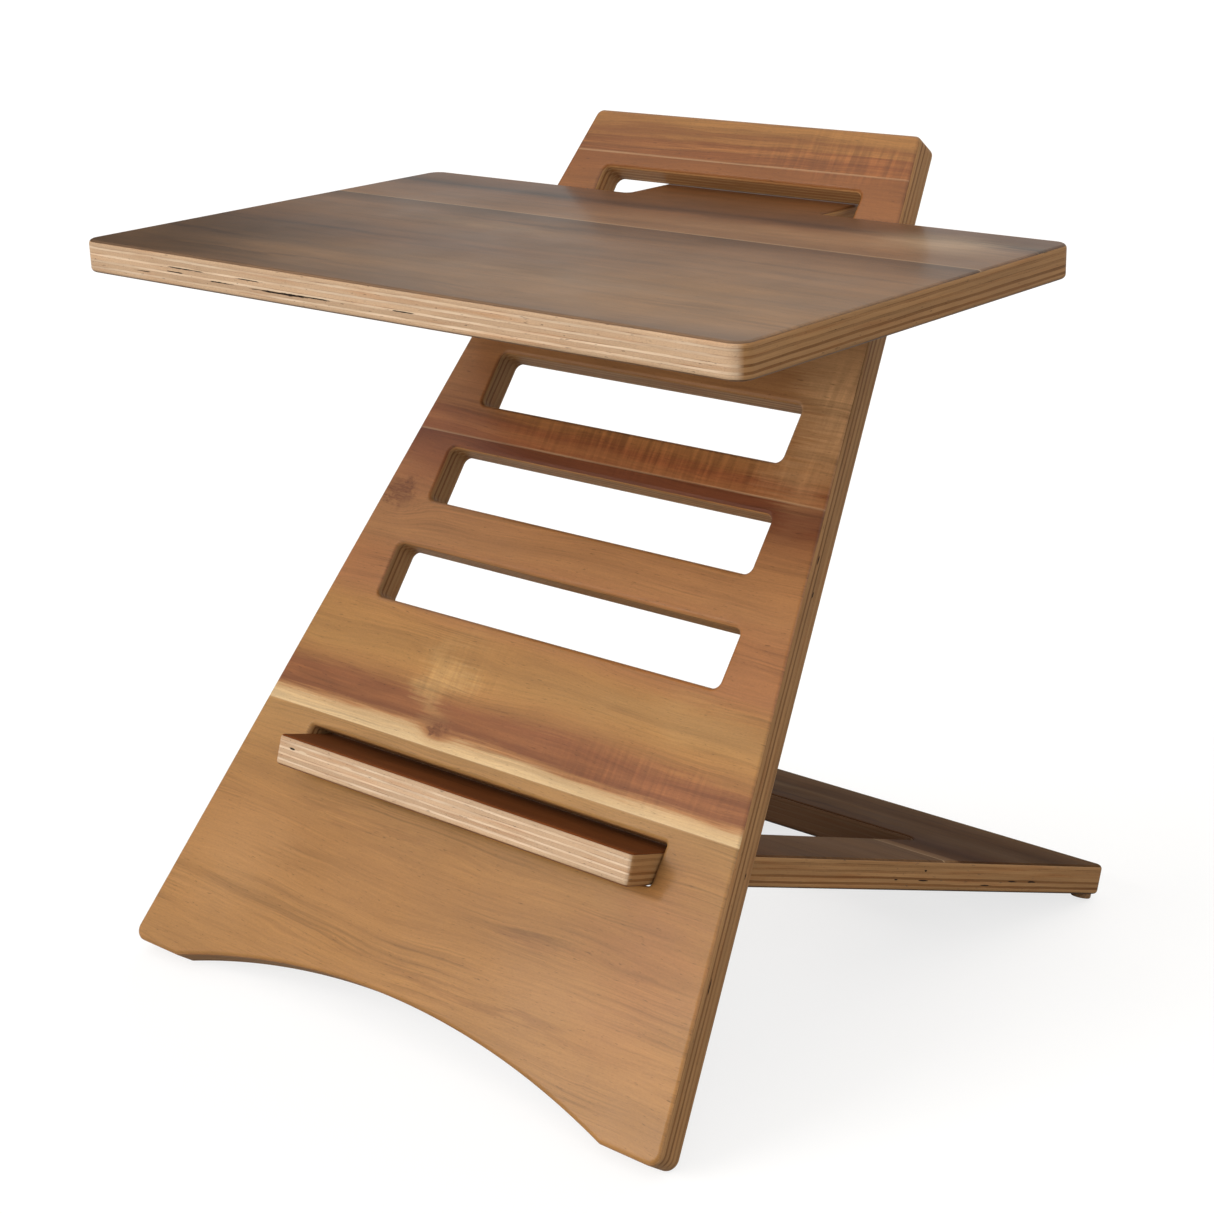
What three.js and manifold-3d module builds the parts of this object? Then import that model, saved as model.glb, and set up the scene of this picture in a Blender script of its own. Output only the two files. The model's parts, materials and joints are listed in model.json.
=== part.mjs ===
// A slot-together presentation lectern: three plywood boards that hold each other up without screws.
// The spine board leans back on two feet. The desktop's tongue is wedged in one of its five upper slots,
// and the leg's tongue goes through the slot near its foot and shows as a lip at the front.
// Every board is a plywood core between two face veneers. Two pads stand the leg on the table.
// X runs along the width, Y from the reader's side to the back, Z up. Millimetres.

import * as THREE from 'three';
import { mergeVertices } from 'three/addons/utils/BufferGeometryUtils.js';
import Module from 'manifold-3d';

const wasm = await Module();
wasm.setup();

// Driving dimensions
const boardThickness = 18;
const veneerThickness = 0.9;
const glueGap = 0.3;
const fitGap = 0.25; // room left on each side of a board in its slot
const arrisRadius = 2.5; // every edge of every board is rounded over
const spineLean = THREE.MathUtils.degToRad(37.4); // from vertical, backwards

const spineLength = 565;
const spineTopWidth = 234;
const spineFootWidth = 404;
const spineTopCorner = 5;
const spineFootCorner = 7;
const archWidth = 326;
const archRise = 26;

const slotCount = 5; // the heights that the desktop can be set to
const slotInUse = 4; // counted from the lowest, which is 0
const lowestSlot = 237; // from the spine's foot to the slot's lower edge
const slotPitch = 64;
const lowestSlotWidth = 255.6;
const slotNarrowing = 17; // from one slot to the next one up
const slotCorner = 4.5;

const desktopWidth = 455;
const desktopDepth = 275;
const desktopCorner = 9;
const desktopOffset = 11.5; // the tongue is narrower than its slot and sits right of its middle
const desktopTongueWidth = 139;
const desktopTongueLength = 60;

const legLength = 363;
const legRearWidth = 429;
const legSideFlare = 0.2356; // sideways, for each millimetre along the leg
const legRearCorner = 6;
const legTongueWidth = 267.2;
const lipReach = 19; // from the lip's front to the edge that carries the leg
const legSlotBottom = 128.4;
const legSlotWidth = 268.8;
const legSlotCorner = 2.5;
const legOpeningFront = 125;
const legOpeningRear = 268;
const legRailWidth = 52;
const legOpeningCorner = 10;

const padRadius = 6;
const padHeight = 3.5;
const padRimRound = 0.4;
const padFromRear = 7; // from the leg's rear edge to the pad's middle
const padFromSide = 9;

const arcSteps = 4; // flat facets in each rounded corner
const archSteps = 20;
const arrisSteps = 3;
const padSides = 24;

const weldDistance = 1e-4;
const slabWidth = 2000; // wider than any board
const slabOverhang = 1; // past a board's face

const spineFinish = { color: 0xa9703c, roughness: 0.38, metalness: 0 };
const desktopFinish = { color: 0x8d6743, roughness: 0.38, metalness: 0 };
const legFinish = { color: 0x7a5433, roughness: 0.38, metalness: 0 };
const coreFinish = { color: 0xb98d5c, roughness: 0.5, metalness: 0 };
const padFinish = { color: 0x8a6a48, roughness: 0.6, metalness: 0 };

const slotLevels = [...Array(slotCount).keys()].map((row) => lowestSlot + row * slotPitch);

// Height of a slot that holds a board crossing the spine at an angle of tilt from square.
// The board bears on the rounded front arris below it and on the rounded back arris above it.
function slotHeight(tilt) {
  const across = boardThickness + 2 * arrisRadius + 2 * fitGap;
  const drop = (boardThickness - 2 * arrisRadius) * Math.sin(tilt);
  return (across + drop) / Math.cos(tilt) - 2 * arrisRadius;
}

// A point of the spine in its side view: up is measured along its face, deep from the face backwards.
function onSpine(up, deep) {
  const y = up * Math.sin(spineLean) + deep * Math.cos(spineLean);
  const z = up * Math.cos(spineLean) - deep * Math.sin(spineLean);
  return { y, z };
}

// A closed outline through corners of [x, y, radius], each rounded by an arc.
function roundedOutline(corners) {
  const points = [];
  corners.forEach(([x, y, radius], index) => {
    const corner = new THREE.Vector2(x, y);
    if (!radius) {
      points.push(corner);
      return;
    }
    const [beforeX, beforeY] = corners[(index + corners.length - 1) % corners.length];
    const [afterX, afterY] = corners[(index + 1) % corners.length];
    const back = new THREE.Vector2(beforeX, beforeY).sub(corner).normalize();
    const ahead = new THREE.Vector2(afterX, afterY).sub(corner).normalize();
    const halfAngle = Math.acos(THREE.MathUtils.clamp(back.dot(ahead), -1, 1)) / 2;
    const middle = back.clone().add(ahead).normalize();
    const centre = corner.clone().addScaledVector(middle, radius / Math.sin(halfAngle));
    const from = corner.clone().addScaledVector(back, radius / Math.tan(halfAngle)).sub(centre);
    const turn = Math.sign(ahead.cross(back)) * (Math.PI - 2 * halfAngle);
    for (let step = 0; step <= arcSteps; step += 1) {
      const spoke = from.clone().rotateAround(new THREE.Vector2(), (turn * step) / arcSteps);
      points.push(spoke.add(centre));
    }
  });
  return points;
}

function slotOutline(width, bottom, height, corner) {
  const half = width / 2;
  return roundedOutline([
    [-half, bottom, corner],
    [half, bottom, corner],
    [half, bottom + height, corner],
    [-half, bottom + height, corner],
  ]);
}

function toSolid(geometry) {
  const bare = geometry.clone();
  bare.deleteAttribute('normal');
  bare.deleteAttribute('uv');
  const merged = mergeVertices(bare, weldDistance);
  const vertProperties = new Float32Array(merged.attributes.position.array);
  const triVerts = new Uint32Array(merged.index.array);
  return new wasm.Manifold(new wasm.Mesh({ numProp: 3, vertProperties, triVerts }));
}

function toGeometry(solid) {
  const { vertProperties, triVerts } = solid.getMesh();
  const geometry = new THREE.BufferGeometry();
  geometry.setAttribute('position', new THREE.BufferAttribute(vertProperties, 3));
  geometry.setIndex(new THREE.BufferAttribute(triVerts, 1));
  const flat = geometry.toNonIndexed();
  flat.computeVertexNormals();
  return flat;
}

// A whole board, face up at z = 0, with every arris rounded.
function boardSolid(outline, holes) {
  const shape = new THREE.Shape(outline);
  shape.holes = holes.map((hole) => new THREE.Path(hole));
  const geometry = new THREE.ExtrudeGeometry(shape, {
    depth: boardThickness - 2 * arrisRadius,
    bevelThickness: arrisRadius,
    bevelSize: arrisRadius,
    bevelOffset: -arrisRadius,
    bevelSegments: arrisSteps,
    steps: 1,
  });
  geometry.translate(0, 0, arrisRadius - boardThickness);
  return toSolid(geometry);
}

function slice(solid, top, bottom) {
  const slab = new THREE.BoxGeometry(slabWidth, slabWidth, top - bottom);
  slab.translate(0, 0, (top + bottom) / 2);
  return toGeometry(solid.intersect(toSolid(slab)));
}

// One board as its three pressed layers. names are those of the face, the core and the back.
function makeBoard(outline, holes, names, veneerFinish) {
  const solid = boardSolid(outline, holes);
  const coreTop = -veneerThickness - glueGap;
  const coreBottom = -boardThickness - coreTop;
  const backTop = veneerThickness - boardThickness;
  const layers = [
    [slabOverhang, -veneerThickness, veneerFinish],
    [coreTop, coreBottom, coreFinish],
    [backTop, -boardThickness - slabOverhang, veneerFinish],
  ];
  const board = new THREE.Group();
  layers.forEach(([top, bottom, finish], index) => {
    const mesh = new THREE.Mesh(slice(solid, top, bottom), new THREE.MeshStandardMaterial(finish));
    mesh.name = names[index];
    board.add(mesh);
  });
  return board;
}

// Where the leg crosses the spine: the middle of the arris that carries it, and the leg's slope.
// The slope is the one at which the pads' rear rims are level with the spine's feet.
const legArris = onSpine(legSlotBottom - arrisRadius, arrisRadius);
const floorLevel = onSpine(arrisRadius, boardThickness - arrisRadius).z - arrisRadius;
const padRim = legLength - padFromRear + padRadius - padRimRound - lipReach;
const padRise = arrisRadius + fitGap - glueGap - padHeight + padRimRound;
const legFall = Math.asin((legArris.z - floorLevel) / Math.hypot(padRim, padRise));
const legSlope = legFall + Math.atan2(padRise, padRim);

function makeSpine() {
  const archRadius = ((archWidth / 2) ** 2 + archRise ** 2) / (2 * archRise);
  const archHalfAngle = Math.asin(archWidth / 2 / archRadius);
  const arch = [];
  for (let step = 0; step <= archSteps; step += 1) {
    const angle = archHalfAngle * ((2 * step) / archSteps - 1);
    arch.push([archRadius * Math.sin(angle), archRadius * (Math.cos(angle) - 1) + archRise, 0]);
  }
  const outline = roundedOutline([
    [-spineFootWidth / 2, 0, spineFootCorner],
    ...arch,
    [spineFootWidth / 2, 0, spineFootCorner],
    [spineTopWidth / 2, spineLength, spineTopCorner],
    [-spineTopWidth / 2, spineLength, spineTopCorner],
  ]);
  const desktopSlots = slotLevels.map((level, row) => {
    const width = lowestSlotWidth - row * slotNarrowing;
    return slotOutline(width, level, slotHeight(spineLean), slotCorner);
  });
  const legSlotHeight = slotHeight(spineLean - legSlope);
  const legSlot = slotOutline(legSlotWidth, legSlotBottom, legSlotHeight, legSlotCorner);
  const names = ['spine_front_veneer', 'spine_core', 'spine_back_veneer'];
  const spine = makeBoard(outline, [...desktopSlots, legSlot], names, spineFinish);
  spine.rotation.x = Math.PI / 2 - spineLean;
  return spine;
}

// The desktop lies level. Its underside bears on the front arris of the slot in use,
// and its rear edge stops just short of the spine's face.
function makeDesktop() {
  const carrier = onSpine(slotLevels[slotInUse] - arrisRadius, arrisRadius);
  const underside = carrier.z + arrisRadius + fitGap;
  const faceAtRear = (underside + arrisRadius) * Math.tan(spineLean);
  const rear = faceAtRear - (arrisRadius + fitGap) / Math.cos(spineLean) + arrisRadius;
  const front = rear - desktopDepth;
  const half = desktopWidth / 2;
  const tongueHalf = desktopTongueWidth / 2;
  const tongueEnd = rear + desktopTongueLength;
  const tongueRoot = 3;
  const tongueCorner = 8;
  const outline = roundedOutline([
    [-half, front, desktopCorner],
    [half, front, desktopCorner],
    [half, rear, desktopCorner],
    [tongueHalf, rear, tongueRoot],
    [tongueHalf, tongueEnd, tongueCorner],
    [-tongueHalf, tongueEnd, tongueCorner],
    [-tongueHalf, rear, tongueRoot],
    [-half, rear, desktopCorner],
  ]);
  const names = ['desktop_top_veneer', 'desktop_core', 'desktop_bottom_veneer'];
  const desktop = makeBoard(outline, [], names, desktopFinish);
  desktop.position.set(desktopOffset, 0, underside + boardThickness);
  return desktop;
}

// A low round pad, wide side up, hanging from z = 0.
function makePad(name) {
  const easing = 4 * padRimRound; // where the rounding meets the pad's sole and its side
  const profile = [
    new THREE.Vector2(0, -padHeight),
    new THREE.Vector2(padRadius - easing, -padHeight),
    new THREE.Vector2(padRadius - padRimRound, -padHeight + padRimRound),
    new THREE.Vector2(padRadius, -padHeight + easing),
    new THREE.Vector2(padRadius, 0),
    new THREE.Vector2(0, 0),
  ];
  const geometry = new THREE.LatheGeometry(profile, padSides);
  geometry.rotateX(Math.PI / 2);
  const pad = new THREE.Mesh(geometry, new THREE.MeshStandardMaterial(padFinish));
  pad.name = name;
  return pad;
}

// The leg's own frame starts at the front of its lip, and runs down its slope to the rear edge.
function makeLeg() {
  const tilt = spineLean - legSlope;
  const arrisToBack = (boardThickness + fitGap - arrisRadius) / Math.cos(tilt);
  const faceAboveArris = boardThickness + arrisRadius + fitGap;
  const shoulder = lipReach + arrisToBack + (faceAboveArris - arrisRadius) * Math.tan(tilt)
    + arrisRadius / Math.cos(tilt) - arrisRadius;
  const widthAt = (along) => legRearWidth - 2 * legSideFlare * (legLength - along);
  const shoulderHalf = widthAt(shoulder) / 2;
  const tongueHalf = legTongueWidth / 2;
  const rearHalf = legRearWidth / 2;
  const lipCorner = 3;
  const shoulderRoot = 2;
  const shoulderCorner = 3;
  const side = (sign) => [
    [sign * tongueHalf, 0, lipCorner],
    [sign * tongueHalf, shoulder, shoulderRoot],
    [sign * shoulderHalf, shoulder, shoulderCorner],
    [sign * rearHalf, legLength, legRearCorner],
  ];
  const outline = roundedOutline([...side(1), ...side(-1).reverse()]);
  const openingHalf = (along) => widthAt(along) / 2 - legRailWidth;
  const opening = roundedOutline([
    [-openingHalf(legOpeningFront), legOpeningFront, legOpeningCorner],
    [openingHalf(legOpeningFront), legOpeningFront, legOpeningCorner],
    [openingHalf(legOpeningRear), legOpeningRear, legOpeningCorner],
    [-openingHalf(legOpeningRear), legOpeningRear, legOpeningCorner],
  ]);
  const names = ['leg_top_veneer', 'leg_core', 'leg_bottom_veneer'];
  const leg = makeBoard(outline, [opening], names, legFinish);

  const padAlong = legLength - padFromRear;
  const padAside = widthAt(padAlong) / 2 - padFromSide;
  for (const [name, sign] of [['leg_pad_left', -1], ['leg_pad_right', 1]]) {
    const pad = makePad(name);
    pad.position.set(sign * padAside, padAlong, -boardThickness - glueGap);
    leg.add(pad);
  }

  // The face lies a board, an arris and a gap above the middle of the arris that carries it.
  const sin = Math.sin(legSlope);
  const cos = Math.cos(legSlope);
  leg.rotation.x = -legSlope;
  leg.position.y = legArris.y + faceAboveArris * sin - lipReach * cos;
  leg.position.z = legArris.z + faceAboveArris * cos + lipReach * sin;
  return leg;
}

const lectern = new THREE.Group();
lectern.add(makeSpine(), makeDesktop(), makeLeg());

// The origin is under the middle of the whole lectern, on the surface that it stands on.
lectern.updateMatrixWorld(true);
const box = new THREE.Box3().setFromObject(lectern, true);
const middle = box.getCenter(new THREE.Vector3());
lectern.position.set(-middle.x, -middle.y, -box.min.z);

export default lectern;
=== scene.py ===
"""Looks for the slot-together plywood lectern: three varnished boards and two pads, on a pale studio floor.

Every board is made in its own flat frame: x across the board, y along it, and the face at z = 0 with the
thickness below. Its three pressed layers are separate pieces, and each replaces the CAD node that it is
named after.
"""
import json
import math

import bpy
from mathutils import Matrix, Vector
from mathutils.geometry import tessellate_polygon


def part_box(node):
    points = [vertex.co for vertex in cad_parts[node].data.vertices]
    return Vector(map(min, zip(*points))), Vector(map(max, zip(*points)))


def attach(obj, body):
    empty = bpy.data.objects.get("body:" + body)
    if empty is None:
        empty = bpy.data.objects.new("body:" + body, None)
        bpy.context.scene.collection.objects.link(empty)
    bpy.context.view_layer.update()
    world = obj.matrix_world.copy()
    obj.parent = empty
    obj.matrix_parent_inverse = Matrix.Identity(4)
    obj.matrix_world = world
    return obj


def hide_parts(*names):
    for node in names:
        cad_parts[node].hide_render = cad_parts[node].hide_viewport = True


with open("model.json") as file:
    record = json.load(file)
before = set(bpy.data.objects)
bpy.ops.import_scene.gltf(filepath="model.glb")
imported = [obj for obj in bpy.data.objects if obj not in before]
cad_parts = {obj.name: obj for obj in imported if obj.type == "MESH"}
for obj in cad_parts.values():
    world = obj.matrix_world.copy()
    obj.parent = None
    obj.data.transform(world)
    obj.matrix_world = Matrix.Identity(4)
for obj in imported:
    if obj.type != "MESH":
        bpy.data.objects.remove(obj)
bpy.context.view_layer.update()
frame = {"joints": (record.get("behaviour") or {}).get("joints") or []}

MM = 0.001

# ---------------------------------------------------------------- the boards' sizes, in millimetres
THICKNESS = 18
VENEER = 0.9
GLUE_GAP = 0.01
ARRIS = 2.5
FIT_GAP = 0.25
SPINE_LEAN = math.radians(37.4)

SPINE_LENGTH = 565
SPINE_TOP = 234
SPINE_FOOT = 404
SPINE_TOP_CORNER = 5
SPINE_FOOT_CORNER = 7
ARCH_WIDTH = 326
ARCH_RISE = 26
SLOT_COUNT = 5
LOWEST_SLOT_LEVEL = 237
SLOT_PITCH = 64
SLOT_HEIGHT = 34.52
LOWEST_SLOT_WIDTH = 255.6
SLOT_NARROWING = 17
SLOT_CORNER = 4.5
LEG_SLOT_WIDTH = 268.8
LEG_SLOT_BOTTOM = 128.4
LEG_SLOT_CORNER = 2.5

DESKTOP_WIDTH = 455
DESKTOP_DEPTH = 275
DESKTOP_CORNER = 9
TONGUE_WIDTH = 139
TONGUE_LENGTH = 60
TONGUE_ROOT = 3
TONGUE_CORNER = 8

LEG_LENGTH = 363
LEG_REAR = 429
LEG_FLARE = 0.2356
LEG_REAR_CORNER = 6
LEG_TONGUE = 267.2
LIP_REACH = 19
LIP_CORNER = 3
SHOULDER_ROOT = 2
SHOULDER_CORNER = 3
LEG_OPENING = (125, 268)
LEG_OPENING_CORNER = 10
LEG_RAIL = 52

PAD_RADIUS = 6
PAD_HEIGHT = 3.5
PAD_RIM = 0.9

# How finely the curves are drawn
CORNER_STEPS = 10
ARCH_STEPS = 60
ARRIS_STEPS = 5
PAD_SIDES = 48
PAD_RIM_STEPS = 6
ROW_TOLERANCE = 1e-6


# ---------------------------------------------------------------- outlines
def rounded_outline(corners):
    """The closed outline through corners of (x, y, radius), each rounded by an arc."""
    points = []
    for index, (x, y, radius) in enumerate(corners):
        corner = Vector((x, y))
        if not radius:
            points.append(corner)
            continue
        back = (Vector(corners[index - 1][:2]) - corner).normalized()
        ahead = (Vector(corners[(index + 1) % len(corners)][:2]) - corner).normalized()
        half = math.acos(max(-1, min(1, back.dot(ahead)))) / 2
        centre = corner + (back + ahead).normalized() * radius / math.sin(half)
        spoke = corner + back * radius / math.tan(half) - centre
        turn = math.copysign(math.pi - 2 * half, ahead.x * back.y - ahead.y * back.x)
        for step in range(CORNER_STEPS + 1):
            points.append(centre + Matrix.Rotation(turn * step / CORNER_STEPS, 2) @ spoke)
    return points


def slot_outline(width, bottom, height, corner):
    half = width / 2
    top = bottom + height
    sides = [(-half, bottom), (half, bottom), (half, top), (-half, top)]
    return rounded_outline([(x, y, corner) for x, y in sides])


def outward(points):
    """For each point of an outline, the way out of the board, long enough to keep the outline parallel."""
    normals = []
    for index, point in enumerate(points):
        before = (point - points[index - 1]).normalized()
        after = (points[(index + 1) % len(points)] - point).normalized()
        left = Vector((before.y, -before.x))
        right = Vector((after.y, -after.x))
        mean = (left + right).normalized()
        normals.append(mean / mean.dot(left))
    return normals


def leg_slot_height(tilt):
    """Height of the slot that holds the leg, which crosses the spine at an angle of tilt from square."""
    across = THICKNESS + 2 * ARRIS + 2 * FIT_GAP
    drop = (THICKNESS - 2 * ARRIS) * math.sin(tilt)
    return (across + drop) / math.cos(tilt) - 2 * ARRIS


def mirrored(right):
    """The whole list of corners, from those on the right, first to last, and back down the left."""
    return right + [(-x, y, radius) for x, y, radius in reversed(right)]


def spine_outlines(leg_tilt):
    radius = ((ARCH_WIDTH / 2) ** 2 + ARCH_RISE**2) / (2 * ARCH_RISE)
    reach = math.asin(ARCH_WIDTH / 2 / radius)
    arch = []
    for step in range(ARCH_STEPS + 1):
        angle = reach * (2 * step / ARCH_STEPS - 1)
        arch.append((radius * math.sin(angle), radius * (math.cos(angle) - 1) + ARCH_RISE, 0))
    foot, top = SPINE_FOOT / 2, SPINE_TOP / 2
    board = [
        (-foot, 0, SPINE_FOOT_CORNER),
        *arch,
        (foot, 0, SPINE_FOOT_CORNER),
        (top, SPINE_LENGTH, SPINE_TOP_CORNER),
        (-top, SPINE_LENGTH, SPINE_TOP_CORNER),
    ]
    slots = []
    for row in range(SLOT_COUNT):
        width = LOWEST_SLOT_WIDTH - SLOT_NARROWING * row
        level = LOWEST_SLOT_LEVEL + SLOT_PITCH * row
        slots.append(slot_outline(width, level, SLOT_HEIGHT, SLOT_CORNER))
    slots.append(slot_outline(LEG_SLOT_WIDTH, LEG_SLOT_BOTTOM, leg_slot_height(leg_tilt), LEG_SLOT_CORNER))
    return rounded_outline(board), slots


def desktop_outlines():
    half, tongue = DESKTOP_WIDTH / 2, TONGUE_WIDTH / 2
    right = [
        (half, 0, DESKTOP_CORNER),
        (half, DESKTOP_DEPTH, DESKTOP_CORNER),
        (tongue, DESKTOP_DEPTH, TONGUE_ROOT),
        (tongue, DESKTOP_DEPTH + TONGUE_LENGTH, TONGUE_CORNER),
    ]
    return rounded_outline(mirrored(right)), []


def leg_outlines(shoulder):
    def half_width(along):
        return LEG_REAR / 2 - LEG_FLARE * (LEG_LENGTH - along)

    tongue = LEG_TONGUE / 2
    right = [
        (tongue, 0, LIP_CORNER),
        (tongue, shoulder, SHOULDER_ROOT),
        (half_width(shoulder), shoulder, SHOULDER_CORNER),
        (LEG_REAR / 2, LEG_LENGTH, LEG_REAR_CORNER),
    ]
    opening = [(half_width(along) - LEG_RAIL, along, LEG_OPENING_CORNER) for along in LEG_OPENING]
    return rounded_outline(mirrored(right)), [rounded_outline(mirrored(opening))]


# ---------------------------------------------------------------- board meshes
def board_rows():
    """Rows of the rounded edge from the face down: depth, inset from the outline, and the normal's turn."""
    turns = [math.pi / 2 * step / ARRIS_STEPS for step in range(ARRIS_STEPS + 1)]
    turns.append(math.acos(1 - VENEER / ARRIS))
    upper = [(ARRIS * (1 - math.cos(turn)), ARRIS * (1 - math.sin(turn)), turn) for turn in sorted(turns)]
    lower = [(THICKNESS - depth, inset, math.pi - turn) for depth, inset, turn in reversed(upper)]
    return upper + lower


def layer_mesh(name, outlines, top, bottom):
    """A closed mesh of one board's layer between two depths, with exact normals round its arrises."""
    rows = [row for row in board_rows() if top - ROW_TOLERANCE <= row[0] <= bottom + ROW_TOLERANCE]
    board, holes = outlines
    rings = [board] + [list(reversed(hole)) for hole in holes]
    verts, normals, faces, is_cap = [], [], [], []
    starts = []
    for ring in rings:
        ways = outward(ring)
        starts.append(len(verts))
        for depth, inset, turn in rows:
            for point, way in zip(ring, ways):
                verts.append((*(point - way * inset) * MM, -depth * MM))
                flat = way.normalized() * math.sin(turn)
                normals.append(Vector((flat.x, flat.y, math.cos(turn))))
        count = len(ring)
        for row in range(len(rows) - 1):
            low = starts[-1] + row * count
            for index in range(count):
                after = (index + 1) % count
                faces.append((low + index, low + count + index, low + count + after, low + after))
                is_cap.append(None)
    for row, up in ((0, 1), (len(rows) - 1, -1)):
        members = [list(range(start + row * len(ring), start + (row + 1) * len(ring)))
                   for start, ring in zip(starts, rings)]
        flat = [index for loop in members for index in loop]
        for tri in tessellate_polygon([[Vector(verts[index]) for index in loop] for loop in members]):
            a, b, c = (Vector(verts[flat[corner]]) for corner in tri)
            turned = (b - a).cross(c - a).z * up > 0
            order = tri if turned else tri[::-1]
            faces.append(tuple(flat[corner] for corner in order))
            is_cap.append(Vector((0, 0, up)))
    mesh = bpy.data.meshes.new(name)
    mesh.from_pydata(verts, [], faces)
    mesh.update()
    for polygon in mesh.polygons:
        polygon.use_smooth = True
    loop_normals = [None] * len(mesh.loops)
    for polygon, cap in zip(mesh.polygons, is_cap):
        for loop in polygon.loop_indices:
            loop_normals[loop] = cap or normals[mesh.loops[loop].vertex_index]
    mesh.normals_split_custom_set(loop_normals)
    return mesh


def add_piece(name, mesh, placement, material, body, node):
    """Puts a piece in place, gives it its finish and lets it ride in place of its CAD node."""
    piece = bpy.data.objects.new(name, mesh)
    bpy.context.scene.collection.objects.link(piece)
    piece.matrix_world = placement
    mesh.materials.append(material)
    bpy.context.view_layer.update()
    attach(piece, body)
    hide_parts(node)
    return piece


# ---------------------------------------------------------------- material nodes
def linear(colour):
    """A colour given as it looks on screen, 0 to 255, as linear light."""
    shares = [value / 255 for value in colour]
    return tuple(((v + 0.055) / 1.055) ** 2.4 if v > 0.04045 else v / 12.92 for v in shares)


# Wood's colours are written as they should look on screen. The studio's light shows them brighter than the
# surface is, so this share of them goes into the surface.
KEY_SHARE = 0.6


def wood(colour):
    return (*(KEY_SHARE * value for value in linear(colour)), 1)


class Nodes:
    """Writes nodes as expressions: a value is a number, a tuple or another node's output.

    owner: the material or the world that holds the nodes. shader: the name of its shader node.
    """

    def __init__(self, owner, shader):
        owner.use_nodes = True
        self.owner = owner
        self.tree = owner.node_tree
        self.shader = self.tree.nodes[shader]

    @classmethod
    def material(cls, name):
        return cls(bpy.data.materials.new(name), "Principled BSDF")

    def feed(self, socket, value):
        """Gives an input a fixed value, or links another node's output to it."""
        if isinstance(value, bpy.types.NodeSocket):
            self.tree.links.new(value, socket)
        else:
            socket.default_value = value

    def add(self, kind, inputs, output=0, **settings):
        node = self.tree.nodes.new("ShaderNode" + kind)
        for key, value in settings.items():
            setattr(node, key, value)
        for socket, value in inputs.items():
            self.feed(node.inputs[socket], value)
        return node.outputs[output]

    def math(self, operation, *values):
        return self.add("Math", dict(enumerate(values)), operation=operation)

    def times(self, *values):
        total = values[0]
        for value in values[1:]:
            total = self.math("MULTIPLY", total, value)
        return total

    def plus(self, *values):
        total = values[0]
        for value in values[1:]:
            total = self.math("ADD", total, value)
        return total

    def minus(self, a, b):
        return self.math("SUBTRACT", a, b)

    def remap(self, value, low, high, to_low=0.0, to_high=1.0, smooth=False):
        kind = "SMOOTHSTEP" if smooth else "LINEAR"
        spans = {0: value, 1: low, 2: high, 3: to_low, 4: to_high}
        return self.add("MapRange", spans, interpolation_type=kind, clamp=True)

    def vector(self, operation, a, b):
        return self.add("VectorMath", {0: a, 1: b}, operation=operation)

    def noise(self, place, sizes, seed=0.0, detail=2.0, roughness=0.5):
        """Soft noise from 0 to 1 with features of about the given sizes along x, y and z, in millimetres."""
        scaled = self.vector("MULTIPLY", place, [1 / size if size else 0 for size in sizes])
        moved = self.vector("ADD", scaled, (seed, seed * 1.7, seed * 0.3))
        return self.add("TexNoise", {"Vector": moved, "Scale": 1, "Detail": detail, "Roughness": roughness})

    def finish(self, inputs):
        """Feeds the shader's inputs by name, and returns the finished material or world."""
        for socket, value in inputs.items():
            self.feed(self.shader.inputs[socket], value)
        return self.owner

    def part(self, vector, axis):
        """One of a vector's three numbers."""
        return self.add("SeparateXYZ", {0: vector}, axis)

    def pair(self, x, y):
        return self.add("CombineXYZ", {0: x, 1: y})

    def mix(self, share, a, b, blend="MIX"):
        return self.add("Mix", {0: share, 6: a, 7: b}, 2, data_type="RGBA", blend_type=blend)

    def scaled(self, colour, level):
        return self.add("VectorMath", {0: colour, "Scale": level}, operation="SCALE")

    def ramp(self, place, stops):
        """A colour ramp whose stops are (place, colour), with both ends of the ramp at the outer stops."""
        low, high = stops[0][0], stops[-1][0]
        share = self.remap(place, low, high)
        node = self.tree.nodes.new("ShaderNodeValToRGB")
        elements = node.color_ramp.elements
        while len(elements) < len(stops):
            elements.new(0.5)
        for element, (at, colour) in zip(elements, stops):
            element.position = (at - low) / (high - low)
            element.color = colour
        self.tree.links.new(share, node.inputs[0])
        return node.outputs[0]

    def ellipse(self, place, centre, radii):
        """1 in the middle of a soft ellipsoid, falling to 0 at its surface."""
        away = self.vector("SUBTRACT", place, centre)
        shares = self.vector("DIVIDE", away, radii)
        distance = self.add("VectorMath", {0: shares}, 1, operation="LENGTH")
        return self.remap(distance, 1.0, 0.0, smooth=True)


# ---------------------------------------------------------------- varnish
def varnish(nodes, colour, relief, relief_depth, gloss=1.0):
    """Clear satin varnish over the wood: a smooth coat, with the grain just felt through it."""
    smear = nodes.noise(millimetres(nodes), (60, 40, 40), seed=3.1)
    dull = 0.25 * (1 - gloss)
    bump = nodes.add("Bump", {"Strength": 0.35, "Distance": relief_depth * MM, "Height": relief})
    return nodes.finish({
        "Base Color": colour,
        "Roughness": nodes.remap(smear, 0.3, 0.7, 0.34 + dull, 0.46 + dull),
        "IOR": 1.3 + 0.2 * gloss,
        "Specular IOR Level": 0.5 * gloss,
        "Coat Weight": 0.32 * gloss,
        "Coat Roughness": 0.16,
        "Coat IOR": 1.5,
        "Normal": bump,
    })


def millimetres(nodes):
    """The place on the board, in its own flat frame."""
    return nodes.scaled(nodes.add("TexCoord", {}, "Object"), 1 / MM)


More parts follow.
